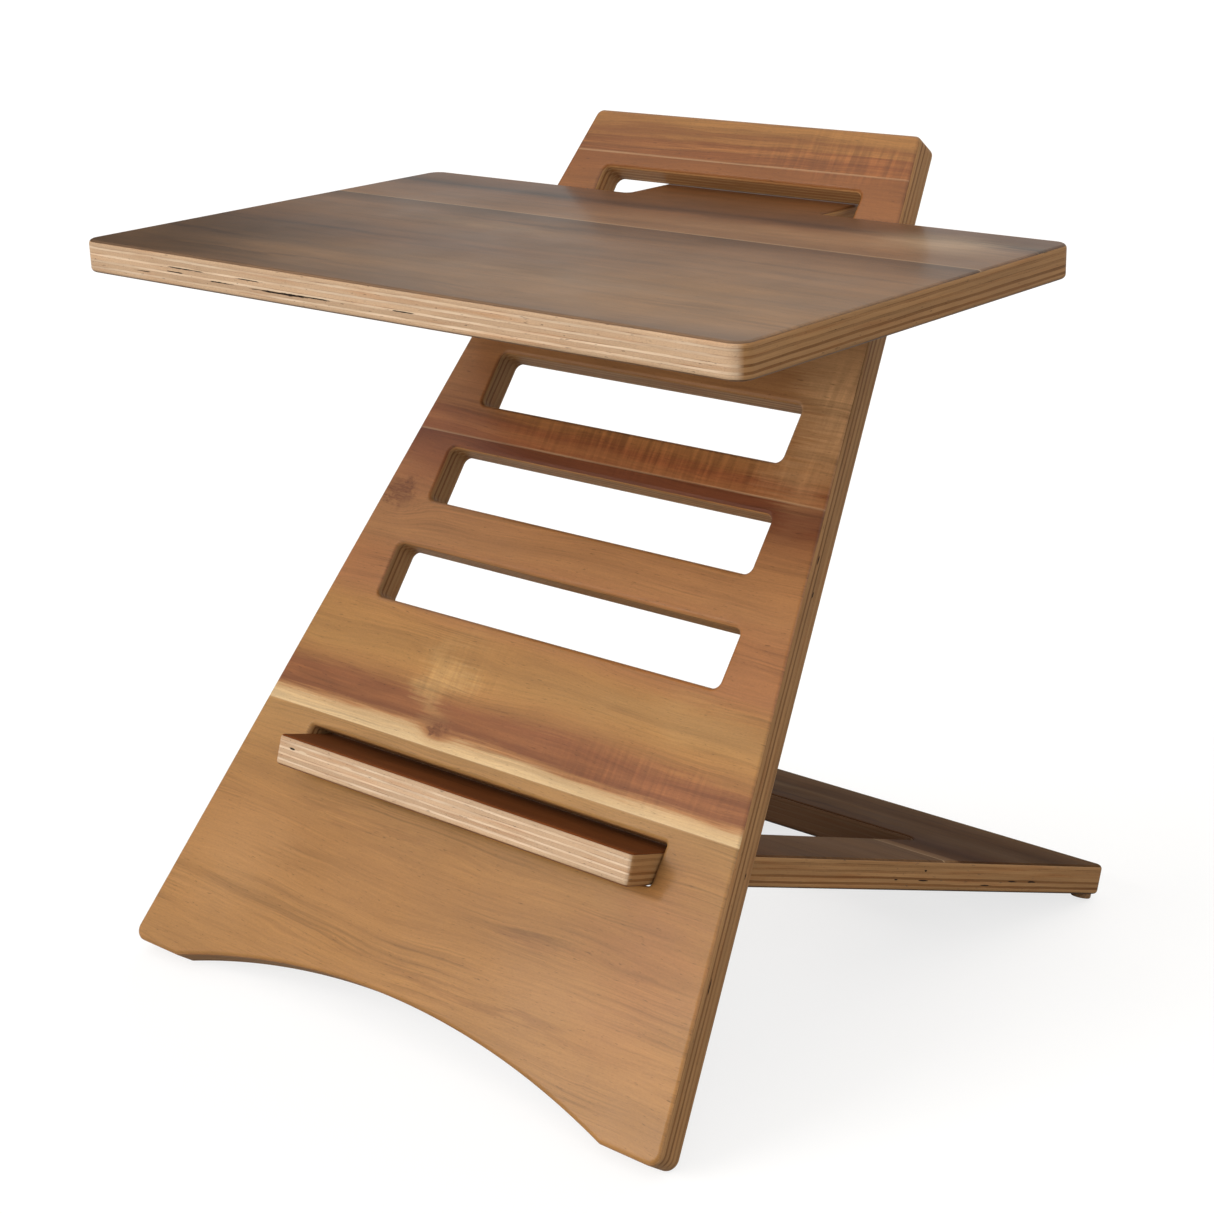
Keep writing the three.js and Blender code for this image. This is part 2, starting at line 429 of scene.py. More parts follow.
# ---------------------------------------------------------------- face veneer
THROUGH = 1000  # a size in depth so great that a spot or a pattern is the same right through a board
FRAY = 2.6  # how far the edges of the colour bands fray across the grain


def spot_on_face(nodes, place, x, y, half_length, half_height):
    return nodes.ellipse(place, (x, y, 0), (half_length, half_height, THROUGH))


def bent_across(nodes, place, local, across, fray, knots):
    """The distance across the grain, where the grain wanders and bends round the knots."""
    wave = nodes.remap(nodes.noise(local, (210, 50, 0), 1.3, 2), 0.2, 0.8, -7, 7)
    flutter = nodes.remap(nodes.noise(local, (60, 12, 0), 5.9, 3), 0.2, 0.8, -1.3, 1.3)
    bent = nodes.plus(across, wave, flutter, nodes.times(fray, FRAY))
    for x, y, radius in knots:
        pull = spot_on_face(nodes, place, x, y, radius * 3.4, radius * 2.2)
        bent = nodes.plus(bent, nodes.times(pull, nodes.minus(y + radius * 0.4, bent), 0.85))
    return bent


def sheet_colours(nodes, across, bent, sheets):
    colour = nodes.ramp(bent, [(y, wood(tone)) for y, tone in sheets[0]])
    for sheet in sheets[1:]:
        joint = sheet[0][0]
        above = nodes.ramp(bent, [(y, wood(tone)) for y, tone in sheet])
        colour = nodes.mix(nodes.math("GREATER_THAN", across, joint), colour, above)
    return colour


def smeared_place(nodes, place, local, fray):
    """The place on the board, shaken mostly along the grain, so that spots end in streaks."""
    blur = nodes.remap(nodes.noise(local, (40, 14, 0), 8.2, 3), 0.25, 0.75, -16, 16)
    sideways = nodes.plus(blur, nodes.times(fray, 14))
    upwards = nodes.plus(nodes.times(blur, 0.35), nodes.times(fray, 5))
    return nodes.vector("ADD", place, nodes.pair(sideways, upwards))


def grain_of(nodes, along, local, coarse):
    """Straight bands and streaks, finer fibres and short pores, as a brightness and as a relief."""
    bands = nodes.noise(along, (330, 13, 0), 0.7, 3, 0.55)
    streaks = nodes.noise(along, (240, 1.6 * coarse, 0), 2.2, 4, 0.6)
    fibres = nodes.noise(along, (26, 0.8 * coarse, 0), 4.4, 4, 0.7)
    pores = nodes.noise(along, (7, 0.7, 0), 6.6, 2, 0.6)
    specks = nodes.noise(along, (1.8, 0.8, 0), 3.9, 3, 0.7)
    clouds = nodes.noise(local, (60, 34, 0), 7.7, 4)
    streaked = nodes.remap(nodes.noise(local, (90, 22, 0), 5.3, 2), 0.42, 0.62)
    brightness = nodes.times(
        nodes.remap(bands, 0.3, 0.7, 0.86, 1.10),
        nodes.plus(1.0, nodes.times(streaked, nodes.remap(streaks, 0.32, 0.56, -0.30, 0.06))),
        nodes.remap(fibres, 0.25, 0.75, 0.86, 1.12),
        nodes.remap(specks, 0.2, 0.8, 0.90, 1.10),
        nodes.remap(clouds, 0.3, 0.7, 1 - 0.05 * coarse, 1 + 0.05 * coarse),
        nodes.remap(pores, 0.64, 0.72, 1.0, 0.55),
    )
    relief = nodes.plus(nodes.times(fibres, 0.6), nodes.remap(pores, 0.63, 0.72, 0.6, 0.0))
    return brightness, relief


def rippled(nodes, brightness, local, smeared, ripples):
    """The brightness with a figure of light stripes across the grain, in the places listed."""
    stripes = nodes.remap(nodes.noise(local, (3.2, 44, 0), 9.1, 3, 0.6), 0.38, 0.66, -0.22, 0.44)
    masks = [nodes.times(spot_on_face(nodes, smeared, *place), strength) for *place, strength in ripples]
    return nodes.times(brightness, nodes.plus(1.0, nodes.times(nodes.plus(*masks), stripes)))


def knotted(nodes, colour, place, knots):
    for x, y, radius in knots:
        ragged = nodes.remap(nodes.noise(place, (6, 4, 0), 15.0 + x, 3, 0.7), 0.3, 0.7, -5, 5)
        crooked = nodes.vector("ADD", place, nodes.pair(ragged, ragged))
        heart = spot_on_face(nodes, crooked, x, y, radius * 1.5, radius * 1.1)
        feathers = nodes.noise(place, (7, 1.2, 0), 11.0 + x, 4, 0.7)
        dark = nodes.times(nodes.remap(heart, 0.05, 0.6), nodes.remap(feathers, 0.40, 0.62, 0.9, 0.25))
        colour = nodes.mix(dark, colour, wood((112, 62, 34)))
    return colour


def seamed(nodes, colour, local, across, joints, strength):
    """The colour with a fine pale line along each joint, stronger in some stretches."""
    broken = nodes.remap(nodes.noise(local, (90, 60, 0), 12.5, 2), 0.4, 0.6, 0.35, 1.0)
    for joint in joints:
        gap = nodes.math("ABSOLUTE", nodes.minus(across, joint))
        seam = nodes.remap(gap, 0.35, 0.75, 1.0, 0.0)
        colour = nodes.mix(nodes.times(seam, broken, strength), colour, wood((240, 206, 160)))
    return colour


def veneer(name, sheets, patches=(), ripples=(), knots=(), seed=0.0, coarse=1.0, seams=0.55, gloss=1.0):
    """Face veneer of sheets joined edge to edge. Its grain runs along x, and its colour bands lie across y.

    sheets: lists of (y, colour) from the board's front upwards, each sheet ending where the next one starts.
    patches: (x, y, half length, half height, colour, strength), soft blotches of another colour: mostly the
    wood's own, and in one place on the spine painted light.
    ripples: (x, y, half length, half height, strength), where a figure of light stripes crosses the grain.
    knots: (x, y, radius), round which the grain bends.
    coarse: how broad and how strong the grain is. seams: how strongly the joints between sheets show.
    """
    nodes = Nodes.material(name)
    place = millimetres(nodes)
    across = nodes.part(place, 1)
    joints = [sheet[0][0] for sheet in sheets[1:]]
    number = nodes.plus(seed, *[nodes.math("GREATER_THAN", across, joint) for joint in joints])
    apart = nodes.pair(nodes.times(number, 213.0), nodes.times(number, 97.0))
    local = nodes.vector("ADD", place, apart)
    fray = nodes.remap(nodes.noise(local, (48, 1.6, 0), 10.4, 4, 0.62), 0.25, 0.75, -1, 1)
    bent = bent_across(nodes, place, local, across, fray, knots)
    smeared = smeared_place(nodes, place, local, fray)
    unfrayed = nodes.minus(bent, nodes.times(fray, FRAY))
    along = nodes.vector("ADD", nodes.pair(nodes.part(place, 0), unfrayed), apart)

    colour = sheet_colours(nodes, across, bent, sheets)
    for *spot, tone, strength in patches:
        share = nodes.times(spot_on_face(nodes, smeared, *spot), strength)
        colour = nodes.mix(share, colour, wood(tone))
    brightness, relief = grain_of(nodes, along, local, coarse)
    if ripples:
        brightness = rippled(nodes, brightness, local, smeared, ripples)
    colour = knotted(nodes, nodes.scaled(colour, brightness), place, knots)
    colour = seamed(nodes, colour, local, across, joints, seams)
    return varnish(nodes, colour, relief, 0.04, gloss)


SPINE_SHEETS = [
    [(0, (184, 132, 74)), (40, (184, 131, 72)), (90, (180, 127, 70)), (130, (181, 130, 72)),
     (161, (190, 142, 84))],
    [(161, (236, 200, 148)), (167, (226, 186, 132)), (171, (192, 132, 78)), (175, (142, 84, 48)),
     (180, (166, 104, 58)), (186, (152, 92, 52)), (194, (178, 122, 66)), (206, (186, 134, 72)),
     (226, (182, 128, 68)), (240, (184, 122, 72)), (262, (180, 118, 68)), (276, (180, 124, 74)),
     (302, (176, 120, 72)),
     (318, (170, 112, 68)), (329, (138, 82, 50)), (339, (118, 64, 40)), (344, (126, 70, 42))],
    [(344, (150, 88, 52)), (349, (172, 108, 64)), (354, (150, 86, 50)), (359, (166, 106, 60)),
     (366, (172, 114, 66)), (384, (170, 114, 66)), (404, (184, 128, 80)), (440, (192, 136, 88)),
     (480, (198, 142, 96)), (508, (162, 104, 57)), (524, (152, 94, 48)), (537, (146, 88, 44))],
    [(537, (152, 92, 46)), (540, (134, 78, 38)), (543, (168, 108, 56)), (546, (128, 74, 34)),
     (549, (166, 110, 56)), (553, (144, 90, 44)), (558, (174, 120, 62)), (565, (174, 118, 60))],
]
SPINE_PATCHES = [
    (-50, 200, 24, 38, (214, 168, 104), 0.6),
    (110, 215, 120, 16, (200, 152, 90), 0.5),
    (-130, 184, 80, 8, (130, 76, 42), 0.55),
    (90, 184, 120, 14, (150, 88, 50), 0.35),
    (20, 248, 110, 8, (176, 104, 60), 0.5),
    (150, 100, 60, 90, (178, 116, 70), 0.45),
    (-150, 60, 60, 60, (196, 146, 92), 0.4),
    # painted light: a pale patch down the right stile below the desktop, lifting the shade that the desktop
    # casts there
    (134, 405, 44, 90, (226, 172, 120), 0.95),
    (-130, 320, 50, 30, (150, 88, 50), 0.6),
    (-118, 385, 46, 60, (150, 92, 54), 0.6),
    (-90, 540, 50, 44, (146, 90, 48), 0.6),
    (60, 318, 90, 8, (140, 84, 48), 0.5),
    (-20, 245, 60, 5, (150, 92, 50), 0.5),
    (60, 40, 150, 4, (150, 102, 56), 0.5),
    (-60, 110, 130, 4, (154, 106, 58), 0.5),
    (90, 543, 90, 7, (138, 78, 38), 0.55),
    (77, 82, 34, 6, (150, 100, 58), 0.6),
]
SPINE_RIPPLES = [
    (30, 358, 170, 22, 1.0),
    (150, 400, 40, 60, 0.7),
    (100, 180, 110, 18, 0.5),
    (-45, 205, 50, 34, 0.35),
    (90, 546, 110, 22, 0.8),
    (0, 480, 120, 60, 0.35),
]
SPINE_KNOTS = [(-42, 172, 6), (-143, 302, 12)]

DESKTOP_SHEETS = [
    [(0, (138, 100, 66)), (8, (130, 94, 60)), (16, (148, 108, 70)), (40, (156, 114, 72)), (66, (136, 97, 59)),
     (100, (120, 82, 52)), (140, (142, 100, 62)), (165, (132, 92, 57)), (180, (96, 64, 36)),
     (189, (112, 76, 45))],
    [(189, (152, 108, 68)), (215, (142, 98, 60)), (236, (130, 86, 50)), (247, (56, 32, 17)),
     (252, (100, 64, 36)), (275, (130, 85, 50)), (335, (150, 94, 54))],
]
DESKTOP_PATCHES = [
    (160, 80, 210, 110, (172, 124, 70), 0.7),
    (-190, 50, 130, 100, (84, 58, 36), 0.75),
    (-190, 60, 100, 5, (62, 38, 22), 0.7),
    (90, 215, 160, 26, (178, 134, 92), 0.7),
    (20, 120, 90, 22, (116, 82, 50), 0.5),
    (175, 235, 80, 34, (206, 170, 132), 0.75),
    (-150, 98, 130, 4, (66, 42, 24), 0.7),
    (-130, 28, 120, 4, (70, 44, 24), 0.6),
    (-40, 165, 170, 5, (92, 62, 36), 0.6),
    (70, 62, 150, 7, (182, 136, 88), 0.6),
    (110, 30, 110, 5, (176, 130, 80), 0.5),
    (-60, 150, 120, 12, (176, 134, 90), 0.5),
]

# The leg's sheets are darker than the desktop's: partly the wood's own tone, partly painted shade for the
# shadow that the spine casts on the leg's top. The underside takes the same colours.
LEG_SHADED_SHEETS = [
    [(0, (142, 80, 43)), (60, (120, 76, 42)), (120, (122, 86, 54)), (200, (132, 96, 64)),
     (226, (120, 88, 60))],
    [(226, (158, 120, 84)), (232, (138, 100, 66)), (236, (92, 58, 30)), (262, (84, 50, 24)),
     (290, (98, 66, 34)), (320, (90, 58, 28)), (363, (112, 78, 44))],
]
LEG_PATCHES = [
    (40, 284, 150, 5, (58, 30, 16), 0.7),
    (-20, 312, 150, 5, (126, 98, 66), 0.5),
    (90, 336, 120, 4, (60, 38, 22), 0.6),
    (0, 150, 210, 5, (84, 56, 34), 0.5),
]

BACK_SHEETS = [
    [(0, (188, 140, 90)), (70, (182, 130, 80)), (120, (192, 142, 90)), (178, (184, 132, 80))],
    [(178, (196, 150, 98)), (240, (180, 124, 74)), (300, (188, 134, 82)), (372, (176, 120, 70))],
    [(372, (186, 132, 82)), (450, (192, 140, 88)), (520, (180, 126, 76)), (565, (188, 134, 82))],
]
BACK_PATCHES = [(60, 140, 120, 22, (168, 108, 64), 0.6), (-80, 330, 110, 18, (204, 160, 104), 0.6)]


# ---------------------------------------------------------------- plywood edges
# The core's nine plies: wide ones whose grain runs along y, and thin ones between them along x
WIDE_PLY = 2.28
THIN_PLY = 1.2

# The wide and the thin plies' colours, on edges that face along the board and on those that face sideways
PALE_EDGE = ((217, 182, 147), (243, 214, 183))
TAN_EDGE = ((190, 138, 88), (226, 180, 128))
FLANK_EDGE = ((196, 148, 98), (156, 108, 64))

# Spots in an edge: x, y, depth, half length along x, half length along y, half height
SPINE_VOIDS = [
    (196, 70, 4.4, 6, 16, 0.5),
    (188, 92, 4.6, 6, 6, 0.5),
    (178, 150, 11.5, 6, 3, 0.5),
    (158, 300, 8, 6, 3, 0.5),
    (152, 318, 5, 6, 5, 0.5),
]
DESKTOP_VOIDS = [
    (-66, 0, 12.0, 34, 4, 0.42),
    (-44, 0, 11.6, 26, 4, 0.36),
    (-112, 0, 11.6, 16, 4, 0.34),
    (20, 0, 11, 14, 4, 0.3),
    (-150, 0, 10, 12, 4, 0.34),
    (-140, 0, 7.6, 22, 4, 0.3),
    (-92, 0, 7.9, 18, 4, 0.26),
    (-176, 0, 12.2, 12, 4, 0.3),
]
LEG_VOIDS = [
    (-121, 0, 6.5, 4, 4, 0.6),
    (176, 190, 11.4, 5, 4, 0.5),
    (180, 212, 11.6, 5, 6, 0.5),
    (180, 212, 6, 5, 2, 0.7),
    (196, 283, 11, 5, 6, 0.5),
    (200, 299, 11, 5, 6, 0.5),
    (190, 262, 13.6, 5, 8, 0.4),
]
LEG_FILLERS = [(-112, 0, 6.6, 5, 4, 0.7), (-75, 0, 6.6, 6, 4, 0.6)]
# Painted shade on the wall at the back of the leg's opening, which lies in shade behind the spine
LEG_PAINTED_SHADE = [(0, 268, 9, 300, 40, 90)]


def sideways_share(nodes):
    """1 on edges that face sideways, 0 on those that face along the board."""
    normal = nodes.add("TexCoord", {}, "Normal")
    across, along = (nodes.math("ABSOLUTE", nodes.part(normal, axis)) for axis in range(2))
    return nodes.remap(nodes.minus(across, along), -0.25, 0.25)


def plies_of(nodes, place, depth, seed):
    """The depth within a pair of plies, the share of thin ply and the ply's number."""
    sag = nodes.remap(nodes.noise(place, (90, 90, 9), seed + 1, 2), 0.2, 0.8, -0.32, 0.32)
    waver = nodes.remap(nodes.noise(place, (14, 14, 5), seed + 2, 2), 0.2, 0.8, -0.1, 0.1)
    level = nodes.minus(nodes.plus(depth, sag, waver), VENEER)
    pair = nodes.math("FLOOR", nodes.math("DIVIDE", level, WIDE_PLY + THIN_PLY))
    within = nodes.minus(level, nodes.times(pair, WIDE_PLY + THIN_PLY))
    thin = nodes.remap(within, WIDE_PLY - 0.09, WIDE_PLY + 0.09)
    number = nodes.plus(nodes.times(pair, 2), nodes.math("GREATER_THAN", within, WIDE_PLY))
    return within, thin, number


def ply_colours(nodes, place, depth, thin, side, tones, seed):
    uneven = nodes.remap(nodes.noise(place, (38, 38, 4), seed + 3, 3), 0.35, 0.6, 0.35, 1.0)
    deep = nodes.remap(depth, 8.5, 10.5, 0.35, 1.0)
    front = nodes.mix(nodes.times(thin, uneven), *(wood(tone) for tone in tones))
    flank = nodes.mix(nodes.times(thin, deep), *(wood(tone) for tone in FLANK_EDGE))
    return nodes.mix(side, front, flank)


def ply_tone(nodes, place, number):
    """Each ply's own brightness, which changes slowly along it."""
    shift = nodes.pair(nodes.times(number, 17.3), nodes.times(number, 5.1))
    moved = nodes.vector("ADD", nodes.vector("DIVIDE", place, (130, 130, THROUGH)), shift)
    tone = nodes.add("TexNoise", {"Vector": moved, "Scale": 1, "Detail": 2})
    return nodes.remap(tone, 0.25, 0.75, 0.80, 1.16)


def ply_grain(nodes, place, thin, side, seed):
    """Dots where the plies are cut across the grain, and streaks where they are cut along it."""
    end = nodes.plus(nodes.times(thin, side), nodes.times(nodes.minus(1, thin), nodes.minus(1, side)))
    dots = nodes.noise(place, (1.1, 1.1, 0.5), seed + 4, 2, 0.7)
    streaks = nodes.noise(place, (26, 26, 0.55), seed + 5, 3, 0.6)
    return nodes.mix(end, streaks, dots)


def reddened(nodes, colour, place, seed):
    reddish = nodes.remap(nodes.noise(place, (46, 46, 2.4), seed + 9, 3), 0.52, 0.72, 0.0, 0.5)
    return nodes.mix(reddish, colour, (0.88, 0.66, 0.5, 1), "MULTIPLY")


def glued(nodes, colour, place, within, seed):
    """The colour with thin dark glue lines, broken here and there, and the lines themselves."""
    to_thin_ply = nodes.math("ABSOLUTE", nodes.minus(within, WIDE_PLY))
    to_joint = nodes.math("MINIMUM", to_thin_ply, nodes.math("ABSOLUTE", within))
    glue = nodes.remap(to_joint, 0.06, 0.2, 1.0, 0.0)
    gaps = nodes.remap(nodes.noise(place, (30, 30, 1.5), seed + 7, 4, 0.6), 0.42, 0.64, 0.0, 0.9)
    return nodes.mix(nodes.times(glue, gaps), colour, (0.36, 0.24, 0.15, 1), "MULTIPLY"), glue


def spot_in_edge(nodes, place, spot, stretch=1):
    x, y, depth, half_x, half_y, half_height = spot
    return nodes.ellipse(place, (x, y, -depth), (half_x, half_y, half_height * stretch))


# Painted shade: darkens front-facing edges inside each spot to a deep brown, where they lie in shade
def painted_shade(nodes, colour, place, side, shade_spots):
    for shade_spot in shade_spots:
        spot = spot_in_edge(nodes, place, shade_spot)
        shaded = nodes.times(nodes.remap(spot, 0.05, 0.5, 0.0, 0.9, smooth=True), nodes.minus(1, side))
        colour = nodes.mix(shaded, colour, wood((96, 62, 36)))
    return colour


def spotted(nodes, colour, place, ragged, spots, tone):
    """The colour with ragged spots of a tone, drawn taller since their edges are cut away unevenly."""
    for spot in spots:
        shape = nodes.plus(spot_in_edge(nodes, place, spot, stretch=1.6), ragged)
        colour = nodes.mix(nodes.remap(shape, 0.28, 0.5), colour, wood(tone))
    return colour


def plywood(name, tones, flipped=False, voids=(), fillers=(), shade_spots=(), seed=0.0):
    """The board's edge, cut through its plies. flipped counts the plies from the board's back.

    tones: the wide and the thin plies' colours on edges that face along the board.
    voids, fillers and shade spots: where a ply is missing, where pale filler sits, and where painted shade
    darkens an edge that lies in shade.
    """
    nodes = Nodes.material(name)
    place = millimetres(nodes)
    side = sideways_share(nodes)
    height = nodes.part(place, 2)
    depth = nodes.plus(height, THICKNESS) if flipped else nodes.times(height, -1)
    within, thin, number = plies_of(nodes, place, depth, seed)

    grain = ply_grain(nodes, place, thin, side, seed)
    specks = nodes.noise(place, (3.2, 3.2, 0.35), seed + 6, 2, 0.6)
    brightness = nodes.times(
        ply_tone(nodes, place, number),
        nodes.remap(grain, 0.25, 0.75, 0.86, 1.12),
        nodes.remap(specks, 0.62, 0.74, 1.0, 0.78),
    )
    colour = nodes.scaled(ply_colours(nodes, place, depth, thin, side, tones, seed), brightness)
    colour = reddened(nodes, colour, place, seed)
    colour, glue = glued(nodes, colour, place, within, seed)
    # painted shade on edges that lie in shade
    colour = painted_shade(nodes, colour, place, side, shade_spots)
    ragged = nodes.remap(nodes.noise(place, (5, 5, 0.8), seed + 8, 3), 0.3, 0.7, -0.3, 0.3)
    colour = spotted(nodes, colour, place, ragged, fillers, (236, 208, 176))
    colour = spotted(nodes, colour, place, ragged, voids, (34, 20, 12))
    relief = nodes.plus(nodes.times(grain, 0.6), nodes.times(glue, -0.5))
    return varnish(nodes, colour, relief, 0.06, 0.5)


def rubber(name):
    """Brown translucent rubber, a little dusty."""
    nodes = Nodes.material(name)
    dust = nodes.noise(millimetres(nodes), (2.5, 2.5, 2.5), 1.0, 4)
    return nodes.finish({
        "Base Color": nodes.mix(nodes.remap(dust, 0.45, 0.7), wood((140, 100, 62)), wood((186, 152, 112))),
        "Roughness": nodes.remap(dust, 0.3, 0.7, 0.38, 0.6),
        "Subsurface Weight": 0.25,
        "Subsurface Scale": 0.003,
        "IOR": 1.46,
        "Normal": nodes.add("Bump", {"Strength": 0.2, "Distance": 0.05 * MM, "Height": dust}),
    })


# ---------------------------------------------------------------- where the boards lie
leg_slide = next(joint for joint in frame["joints"] if joint["name"] == "leg_slide")
leg_tilt = math.atan2(-leg_slide["axis"][2], leg_slide["axis"][1])


def slope(angle, origin):
    return Matrix.Translation(origin) @ Matrix.Rotation(angle, 4, "X")


def spine_placement():
    """The spine leans back from its foot, which stands on the floor."""
    turn = math.pi / 2 - SPINE_LEAN
    core_low, core_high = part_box("spine_core")
    face_low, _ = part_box("spine_front_veneer")
    sin, cos = math.sin(SPINE_LEAN), math.cos(SPINE_LEAN)
    y = face_low.y - ARRIS * MM * (sin + cos - 1)
    z = core_high.z - ((SPINE_LENGTH - ARRIS) * cos - ARRIS * sin + ARRIS) * MM
    return slope(turn, ((core_low.x + core_high.x) / 2, y, z))


def desktop_placement():
    low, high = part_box("desktop_core")
    _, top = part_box("desktop_top_veneer")
    return slope(0, ((low.x + high.x) / 2, low.y, top.z))


def leg_placement():
    """The leg runs down from the front of its lip to its rear edge."""
    core_low, core_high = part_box("leg_core")
    _, face_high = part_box("leg_top_veneer")
    sin, cos = math.sin(leg_tilt), math.cos(leg_tilt)
    y = core_low.y - (ARRIS * cos - (THICKNESS - ARRIS) * sin - ARRIS) * MM
    z = face_high.z + ARRIS * MM * (sin + cos - 1)
    return slope(-leg_tilt, ((core_low.x + core_high.x) / 2, y, z))


def shoulder_of():
    """How far along the leg its shoulders are, which stop it behind the spine."""
    tilt = SPINE_LEAN - leg_tilt
    across = (THICKNESS + FIT_GAP - ARRIS) / math.cos(tilt)
    rise = (THICKNESS + FIT_GAP) * math.tan(tilt)
    return LIP_REACH + across + rise + ARRIS / math.cos(tilt) - ARRIS


# ---------------------------------------------------------------- the pieces
# Where each board's three layers start and end, from the face down
LAYERS = (
    (0, VENEER),
    (VENEER + GLUE_GAP, THICKNESS - VENEER - GLUE_GAP),
    (THICKNESS - VENEER, THICKNESS),
)


def add_board(body, placement, outlines, nodes, slots, finishes):
    for (top, bottom), node, slot, finish in zip(LAYERS, nodes, slots, finishes):
        name = node.replace("_veneer", "_face").replace("_core", "_plies")
        add_piece(name, layer_mesh(name, outlines, top, bottom), placement, finish, body, node)


def add_spine():
    face = veneer(
        "spine_face_wood", SPINE_SHEETS, SPINE_PATCHES, SPINE_RIPPLES, SPINE_KNOTS, seed=1, seams=0.3
    )
    plies = plywood("spine_edge_wood", TAN_EDGE, True, SPINE_VOIDS, seed=20)
    back = veneer("spine_back_wood", BACK_SHEETS, BACK_PATCHES, seed=40)
    names = ("spine_front_veneer", "spine_core", "spine_back_veneer")
    slots = ("spine_veneer", "core_plies", "spine_veneer")
    outlines = spine_outlines(SPINE_LEAN - leg_tilt)
    add_board("spine", spine_placement(), outlines, names, slots, (face, plies, back))


def add_desktop():
    face = veneer("desktop_top_wood", DESKTOP_SHEETS, DESKTOP_PATCHES, seed=3, coarse=2.6)
    plies = plywood("desktop_edge_wood", PALE_EDGE, False, DESKTOP_VOIDS, seed=60)
    below = veneer("desktop_underside_wood", DESKTOP_SHEETS, seed=50)
    names = ("desktop_top_veneer", "desktop_core", "desktop_bottom_veneer")
    slots = ("desktop_veneer", "core_plies", "desktop_veneer")
    add_board("desktop", desktop_placement(), desktop_outlines(), names, slots, (face, plies, below))


def add_leg():
    face = veneer("leg_top_wood", LEG_SHADED_SHEETS, LEG_PATCHES, seed=7, coarse=2.0, gloss=0.15)
    plies = plywood("leg_edge_wood", PALE_EDGE, False, LEG_VOIDS, LEG_FILLERS, LEG_PAINTED_SHADE, seed=80)
    below = veneer("leg_underside_wood", LEG_SHADED_SHEETS, seed=70)
    names = ("leg_top_veneer", "leg_core", "leg_bottom_veneer")
    slots = ("leg_veneer", "core_plies", "leg_veneer")
    outlines = leg_outlines(shoulder_of())
    add_board("leg", leg_placement(), outlines, names, slots, (face, plies, below))


def pad_profile():
    """The pad's outline as (distance from its axis, z), from the middle of its foot to that of its top."""
    profile = [(0, -PAD_HEIGHT), (PAD_RADIUS * 0.7, -PAD_HEIGHT)]
    for step in range(PAD_RIM_STEPS + 1):
        angle = math.pi / 2 * step / PAD_RIM_STEPS
        out = PAD_RADIUS - PAD_RIM + PAD_RIM * math.sin(angle)
        profile.append((out, -PAD_HEIGHT + PAD_RIM - PAD_RIM * math.cos(angle)))
    return profile + [(PAD_RADIUS, -0.25), (PAD_RADIUS - 0.15, -0.05), (PAD_RADIUS - 0.6, 0), (0, 0)]


def pad_mesh(name):
    verts, rings, faces = [], [], []
    for out, z in pad_profile():
        sides = PAD_SIDES if out else 1
        rings.append(range(len(verts), len(verts) + sides))
        for side in range(sides):
            turn = 2 * math.pi * side / PAD_SIDES
            verts.append((out * math.cos(turn) * MM, out * math.sin(turn) * MM, z * MM))
    for lower, upper in zip(rings, rings[1:]):
        for side in range(PAD_SIDES):
            after = (side + 1) % PAD_SIDES
            corners = [lower[side % len(lower)], lower[after % len(lower)],
                       upper[after % len(upper)], upper[side % len(upper)]]
            faces.append(list(dict.fromkeys(corners)))
    mesh = bpy.data.meshes.new(name)
    mesh.from_pydata(verts, [], faces)
    mesh.update()
    for polygon in mesh.polygons:
        polygon.use_smooth = True
    return mesh


def add_pads():
    """Round rubber pads with a soft rim, square to the leg's underside, where the CAD has them."""
    finish = rubber("pad_rubber")
    turn = Matrix.Rotation(-leg_tilt, 4, "X")
    for node in ("leg_pad_left", "leg_pad_right"):
        name = node + "_rubber"
        low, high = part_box(node)
        centre = Vector((low + high) / 2) - turn @ Vector((0, 0, -PAD_HEIGHT / 2 * MM))
        add_piece(name, pad_mesh(name), Matrix.Translation(centre) @ turn, finish, "leg", node)


# ---------------------------------------------------------------- studio
FLOOR_SIZE = 60
FLOOR_GREY = 0.28
FLOOR_GLOW = 0.74  # what the floor adds to the camera's view of it, so that it looks white

STUDIO_TINT = (1, 0.965, 0.91, 1)
WALL_LEVEL = 0.46
CURTAIN_LEVEL = 0.05
CEILING_LEVEL = 0.85
BACKDROP_LEVEL = 1.1  # what the camera sees past the floor
CURTAIN_EDGE = math.radians(48.5)

SUN_TINT = (1.0, 0.985, 0.96)
# Name, strength, spread in degrees, whether gloss shows it, and the way towards it
SUNS = (
    ("soft_key", 4.2, 50, False, (-0.568, -0.781, 0.259)),
    ("side_fill", 1.3, 60, False, (0.80, -0.52, 0.30)),
    ("back_fill", 1.4, 60, False, (-0.2, 0.95, 0.15)),
    ("lamp", 0.07, 8, True, (-0.565, -0.663, 0.49)),
)

CAMERA_PLACE = (0.831556, -0.958251, 0.644997)
CAMERA_AZIMUTH = math.radians(-41.390)
CAMERA_ELEVATION = math.radians(-19.245)
CAMERA_ROLL = math.radians(-1.696)
CAMERA_LENS = 69.85
CAMERA_SENSOR = 36
CAMERA_CLIP = (0.05, 100)


def floor_paper():
    nodes = Nodes.material("studio_floor_paper")
    seen = nodes.add("LightPath", {}, "Is Camera Ray")
    return nodes.finish({
        "Base Color": (FLOOR_GREY, FLOOR_GREY, FLOOR_GREY, 1),
        "Roughness": 0.9,
        "Specular IOR Level": 0.0,
        "Emission Color": (1, 1, 1, 1),
        "Emission Strength": nodes.times(seen, FLOOR_GLOW),
    })


def add_floor():
    bpy.ops.mesh.primitive_plane_add(size=FLOOR_SIZE)
    floor = bpy.context.active_object
    floor.name = "studio_floor"
    floor.data.materials.append(floor_paper())


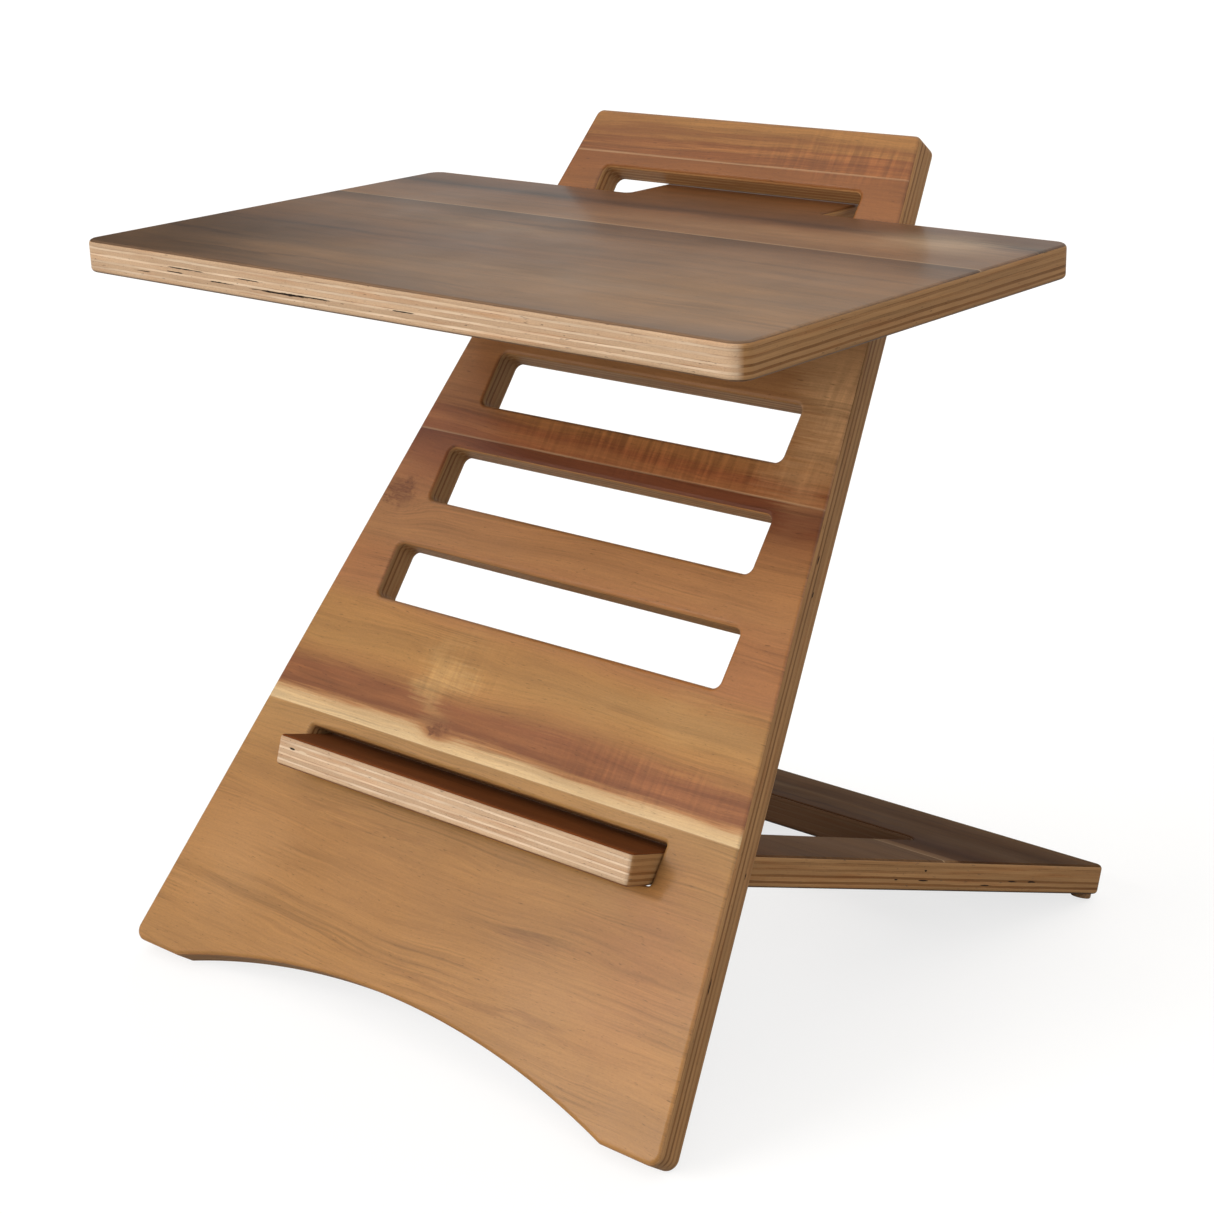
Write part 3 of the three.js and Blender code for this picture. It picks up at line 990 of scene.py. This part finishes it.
def add_world():
    """A studio with a pale ceiling and pale walls behind and to the right, and dark curtains to the left."""
    world = bpy.data.worlds.new("studio")
    bpy.context.scene.world = world
    nodes = Nodes(world, "Background")
    towards = nodes.add("TexCoord", {}, "Generated")
    past_edge = (-math.cos(CURTAIN_EDGE), -math.sin(CURTAIN_EDGE), 0)
    behind_curtain = nodes.add("VectorMath", {0: towards, 1: past_edge}, "Value", operation="DOT_PRODUCT")
    walls = nodes.remap(behind_curtain, -0.04, 0.05, WALL_LEVEL, CURTAIN_LEVEL)
    ceiling = nodes.remap(nodes.part(towards, 2), 0.48, 0.72, smooth=True)
    lit = nodes.plus(walls, nodes.times(ceiling, nodes.minus(CEILING_LEVEL, walls)))
    seen = nodes.add("LightPath", {}, "Is Camera Ray")
    strength = nodes.plus(lit, nodes.times(seen, nodes.minus(BACKDROP_LEVEL, lit)))
    nodes.finish({"Color": STUDIO_TINT, "Strength": strength})


def add_sun(name, strength, spread, seen_in_gloss, towards):
    light = bpy.data.lights.new(name, "SUN")
    light.energy = strength
    light.angle = math.radians(spread)
    light.color = SUN_TINT
    sun = bpy.data.objects.new(name, light)
    bpy.context.scene.collection.objects.link(sun)
    sun.rotation_mode = "QUATERNION"
    sun.rotation_quaternion = Vector(towards).to_track_quat("Z", "Y")
    sun.visible_glossy = seen_in_gloss


def add_camera():
    level = math.cos(CAMERA_ELEVATION)
    across = math.sin(CAMERA_AZIMUTH) * level
    onward = math.cos(CAMERA_AZIMUTH) * level
    forward = Vector((across, onward, math.sin(CAMERA_ELEVATION)))
    right = forward.cross(Vector((0, 0, 1))).normalized()
    turned = Matrix.Rotation(CAMERA_ROLL, 3, -forward) @ right
    up = turned.cross(forward)
    camera = bpy.data.objects.new("camera", bpy.data.cameras.new("camera"))
    bpy.context.scene.collection.objects.link(camera)
    axes = Matrix((turned, up, -forward)).transposed()
    camera.matrix_world = Matrix.Translation(CAMERA_PLACE) @ axes.to_4x4()
    camera.data.sensor_width = CAMERA_SENSOR
    camera.data.lens = CAMERA_LENS
    camera.data.clip_start, camera.data.clip_end = CAMERA_CLIP
    bpy.context.scene.camera = camera


bpy.context.scene.view_settings.view_transform = "Standard"
add_camera()
add_floor()
add_world()
for sun in SUNS:
    add_sun(*sun)
add_spine()
add_desktop()
add_leg()
add_pads()
